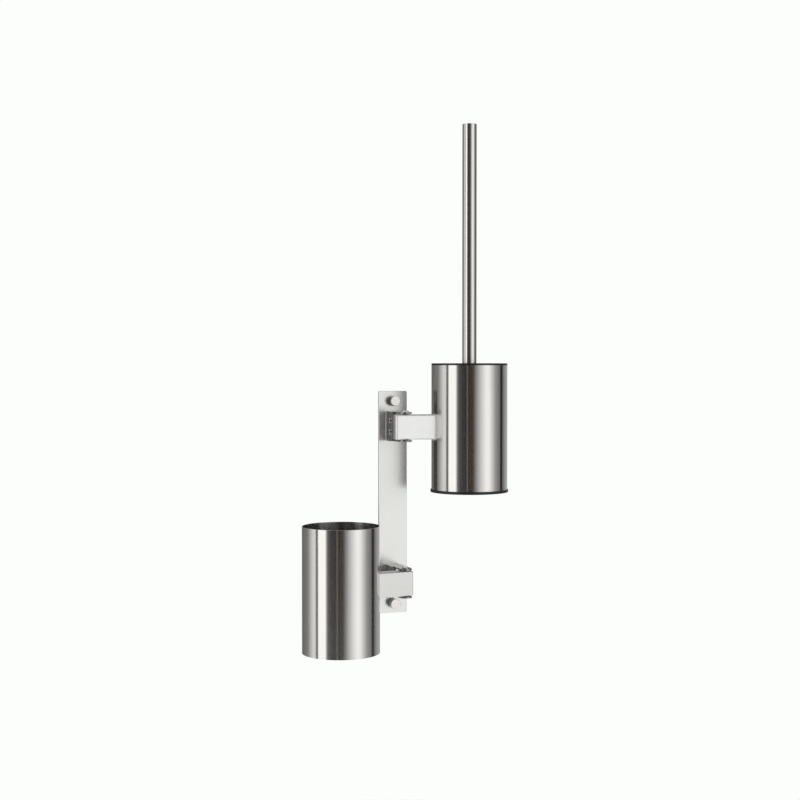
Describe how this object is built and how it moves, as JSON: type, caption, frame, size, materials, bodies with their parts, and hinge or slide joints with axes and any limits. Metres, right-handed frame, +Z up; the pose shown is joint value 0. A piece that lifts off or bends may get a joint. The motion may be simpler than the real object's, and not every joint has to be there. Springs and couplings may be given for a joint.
{
  "type": "toilet brush holder",
  "caption": "Wall-mounted toilet brush holder: a back plate whose upper swing arm carries a lidded brush can and whose lower swing arm carries an open cup.",
  "frame": {"origin": "centre of the back plate's wall face", "axes": "+X to the right seen from the room, +Y into the wall, +Z up"},
  "size_m": [0.2641, 0.1047, 0.6505],
  "materials": {
    "plate_steel": "fine vertical brushing",
    "arm_steel": "fine lengthwise brushing",
    "bracket_steel": "satin",
    "can_steel": "brushed round the can",
    "handle_steel": "brushed lengthwise",
    "cap_steel": "satin nickel",
    "fastener_steel": "plain bright",
    "cap_seat": "moulded",
    "nylon": "moulded",
    "black_plastic": "semi gloss moulding",
    "liner_plastic": "moulded",
    "stem_plastic": "moulded",
    "bristle_nylon": "nylon filament"
  },
  "bodies": {
    "wall_bracket": {"back_plate": "plate_steel", "upper_cap_seat": "cap_seat", "upper_screw_cap": "cap_steel", "upper_mounting_angle": "bracket_steel", "upper_clevis": "bracket_steel", "upper_clevis_screws": "fastener_steel", "upper_clevis_nuts": "fastener_steel", "upper_pivot_pin": "fastener_steel", "lower_cap_seat": "cap_seat", "lower_screw_cap": "cap_steel", "lower_mounting_angle": "bracket_steel", "lower_clevis": "bracket_steel", "lower_clevis_screws": "fastener_steel", "lower_clevis_nuts": "fastener_steel", "lower_pivot_pin": "fastener_steel"},
    "upper_swing": {"upper_arm": "arm_steel", "upper_arm_bushes": "nylon", "brush_can": "can_steel", "can_base": "black_plastic"},
    "liner": {"can_liner": "liner_plastic"},
    "brush": {"lid": "black_plastic", "handle_tube": "handle_steel", "handle_end_plug": "handle_steel", "handle_stud": "fastener_steel", "brush_stem": "stem_plastic", "brush_core": "stem_plastic", "bristles": "bristle_nylon"},
    "lower_swing": {"lower_arm": "arm_steel", "lower_arm_bushes": "nylon", "cup_wall": "can_steel", "cup_floor": "can_steel"}
  },
  "joints": [
    {"name": "upper_arm_swing", "type": "hinge", "parent": "wall_bracket", "child": "upper_swing", "pos_m": [0, -0.0455, 0.097], "axis": [0, 0, -1], "range_deg": [-4, 166]},
    {"name": "lower_arm_swing", "type": "hinge", "parent": "wall_bracket", "child": "lower_swing", "pos_m": [0, -0.0455, -0.097], "axis": [0, 0, 1], "range_deg": [-1, 170]},
    {"name": "liner_lift", "type": "slide", "parent": "upper_swing", "child": "liner", "axis": [0, 0, 1], "range_m": [0, 0.16]},
    {"name": "brush_lift", "type": "slide", "parent": "liner", "child": "brush", "axis": [0, 0, 1], "range_m": [0, 0.2]}
  ]
}
